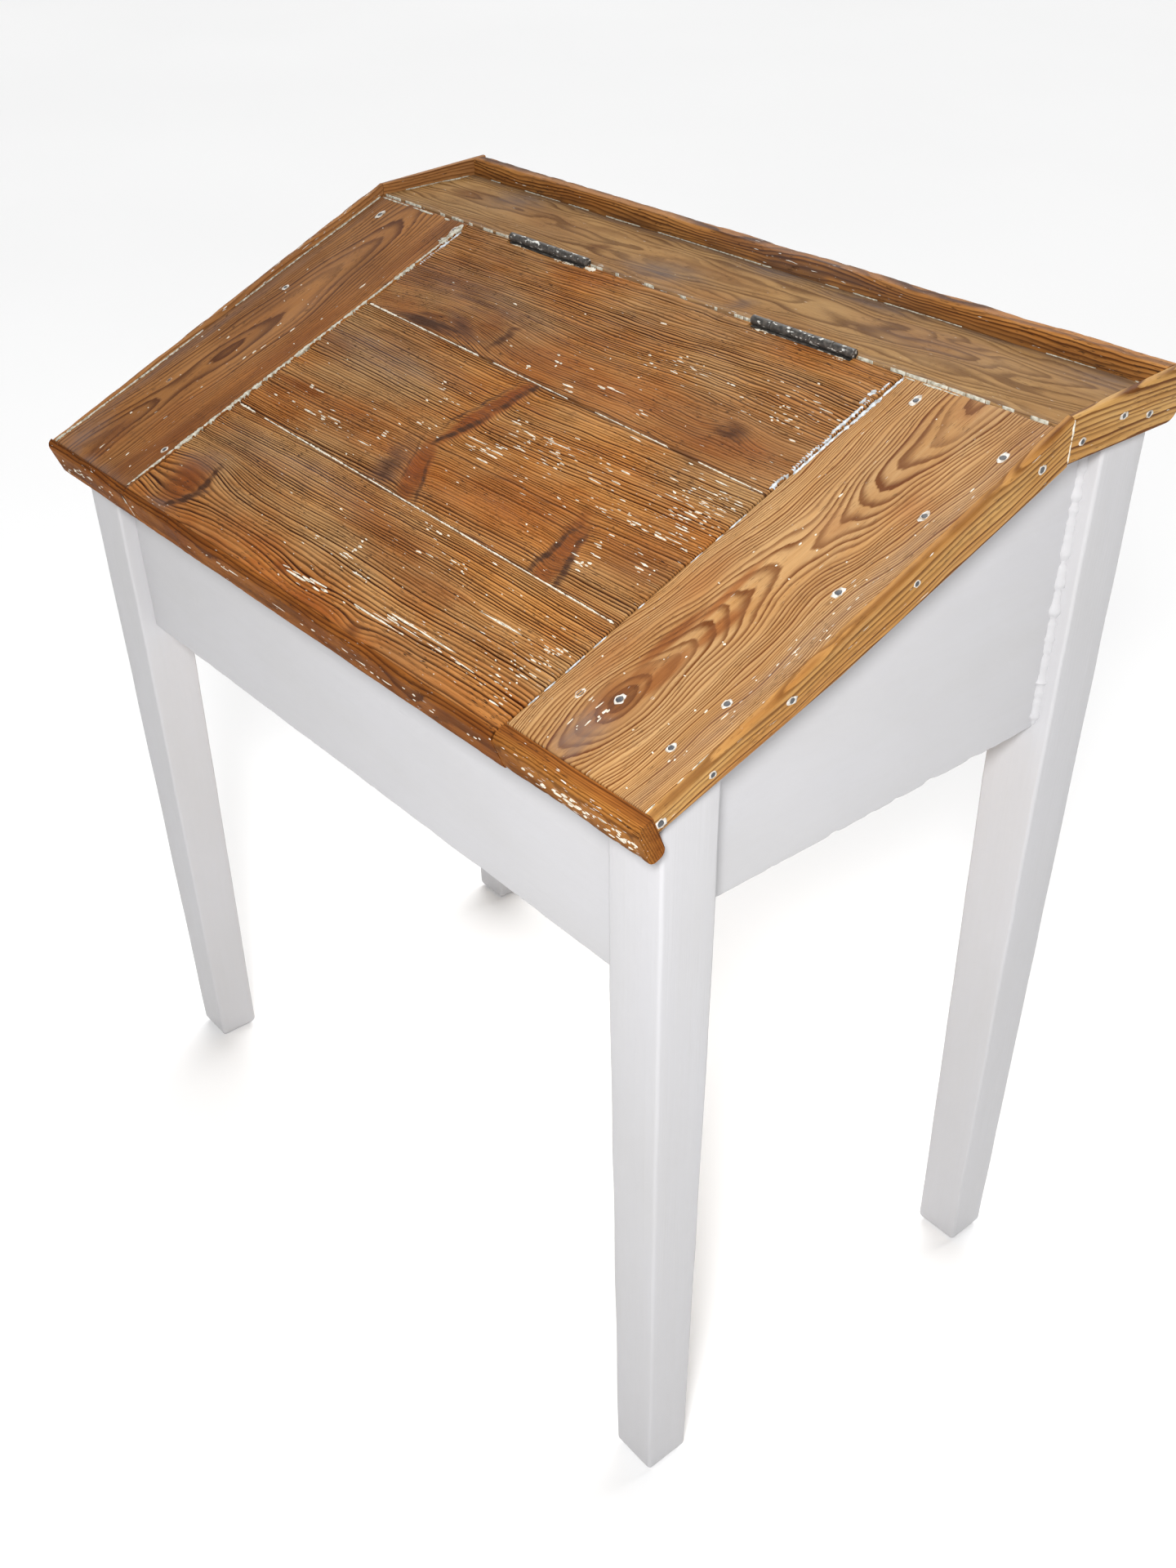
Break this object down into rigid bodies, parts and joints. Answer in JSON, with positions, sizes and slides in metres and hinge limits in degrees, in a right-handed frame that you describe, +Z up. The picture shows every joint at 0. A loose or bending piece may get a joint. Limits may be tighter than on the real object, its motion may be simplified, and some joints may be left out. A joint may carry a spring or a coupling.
{
  "type": "school desk",
  "caption": "Old slope-top school desk: white painted base on tapered legs, brushed pine top with a level rear shelf, edge strips and a hinged plank lid over a compartment.",
  "frame": {"origin": "on the floor, under the middle of the desk's outline", "axes": "+Z up, +Y to the back (rail side), +X to the sitter's right"},
  "size_m": [0.7646, 0.4717, 0.822],
  "materials": {
    "white_paint": "brushed white paint, semi-matt",
    "raw_pine": "bare",
    "honey_pine": "worn wax",
    "brushed_pine": "brushed and waxed",
    "dark_pine": "stained and waxed",
    "orange_pine": "stained and waxed",
    "black_iron": "blackened",
    "nail_iron": "dull"
  },
  "bodies": {
    "desk_frame": {"back_panel": "white_paint", "back_shelf": "honey_pine", "floor_cleat_left": "raw_pine", "floor_cleat_right": "raw_pine", "floor_plank_1": "raw_pine", "floor_plank_2": "raw_pine", "floor_plank_3": "raw_pine", "front_apron": "white_paint", "hinge_left_pin": "black_iron", "hinge_left_shelf_leaf": "black_iron", "hinge_left_shelf_screw_1": "black_iron", "hinge_left_shelf_screw_2": "black_iron", "hinge_left_shelf_screw_3": "black_iron", "hinge_right_pin": "black_iron", "hinge_right_shelf_leaf": "black_iron", "hinge_right_shelf_screw_1": "black_iron", "hinge_right_shelf_screw_2": "black_iron", "hinge_right_shelf_screw_3": "black_iron", "leg_front_left": "white_paint", "leg_front_right": "white_paint", "leg_rear_left": "white_paint", "leg_rear_right": "white_paint", "nosing_left": "orange_pine", "nosing_right": "orange_pine", "rear_rail": "dark_pine", "shelf_strip_left": "orange_pine", "shelf_strip_right": "orange_pine", "side_board_left": "honey_pine", "side_board_nail_left_1": "nail_iron", "side_board_nail_left_2": "nail_iron", "side_board_nail_left_3": "nail_iron", "side_board_nail_left_4": "nail_iron", "side_board_nail_left_5": "nail_iron", "side_board_nail_right_1": "nail_iron", "side_board_nail_right_2": "nail_iron", "side_board_nail_right_3": "nail_iron", "side_board_nail_right_4": "nail_iron", "side_board_nail_right_5": "nail_iron", "side_board_right": "honey_pine", "side_panel_left": "white_paint", "side_panel_right": "white_paint", "slope_strip_left": "orange_pine", "slope_strip_right": "orange_pine"},
    "lid": {"hinge_left_lid_leaf": "black_iron", "hinge_left_lid_screw_1": "black_iron", "hinge_left_lid_screw_2": "black_iron", "hinge_left_lid_screw_3": "black_iron", "hinge_right_lid_leaf": "black_iron", "hinge_right_lid_screw_1": "black_iron", "hinge_right_lid_screw_2": "black_iron", "hinge_right_lid_screw_3": "black_iron", "lid_batten_left": "raw_pine", "lid_batten_right": "raw_pine", "lid_nosing": "orange_pine", "lid_plank_front": "brushed_pine", "lid_plank_middle": "brushed_pine", "lid_plank_rear": "brushed_pine"}
  },
  "joints": [
    {"name": "lid_hinge", "type": "hinge", "parent": "desk_frame", "child": "lid", "pos_m": [0, 0.11985, 0.809], "axis": [-1, 0, 0], "range_deg": [0, 190]}
  ]
}
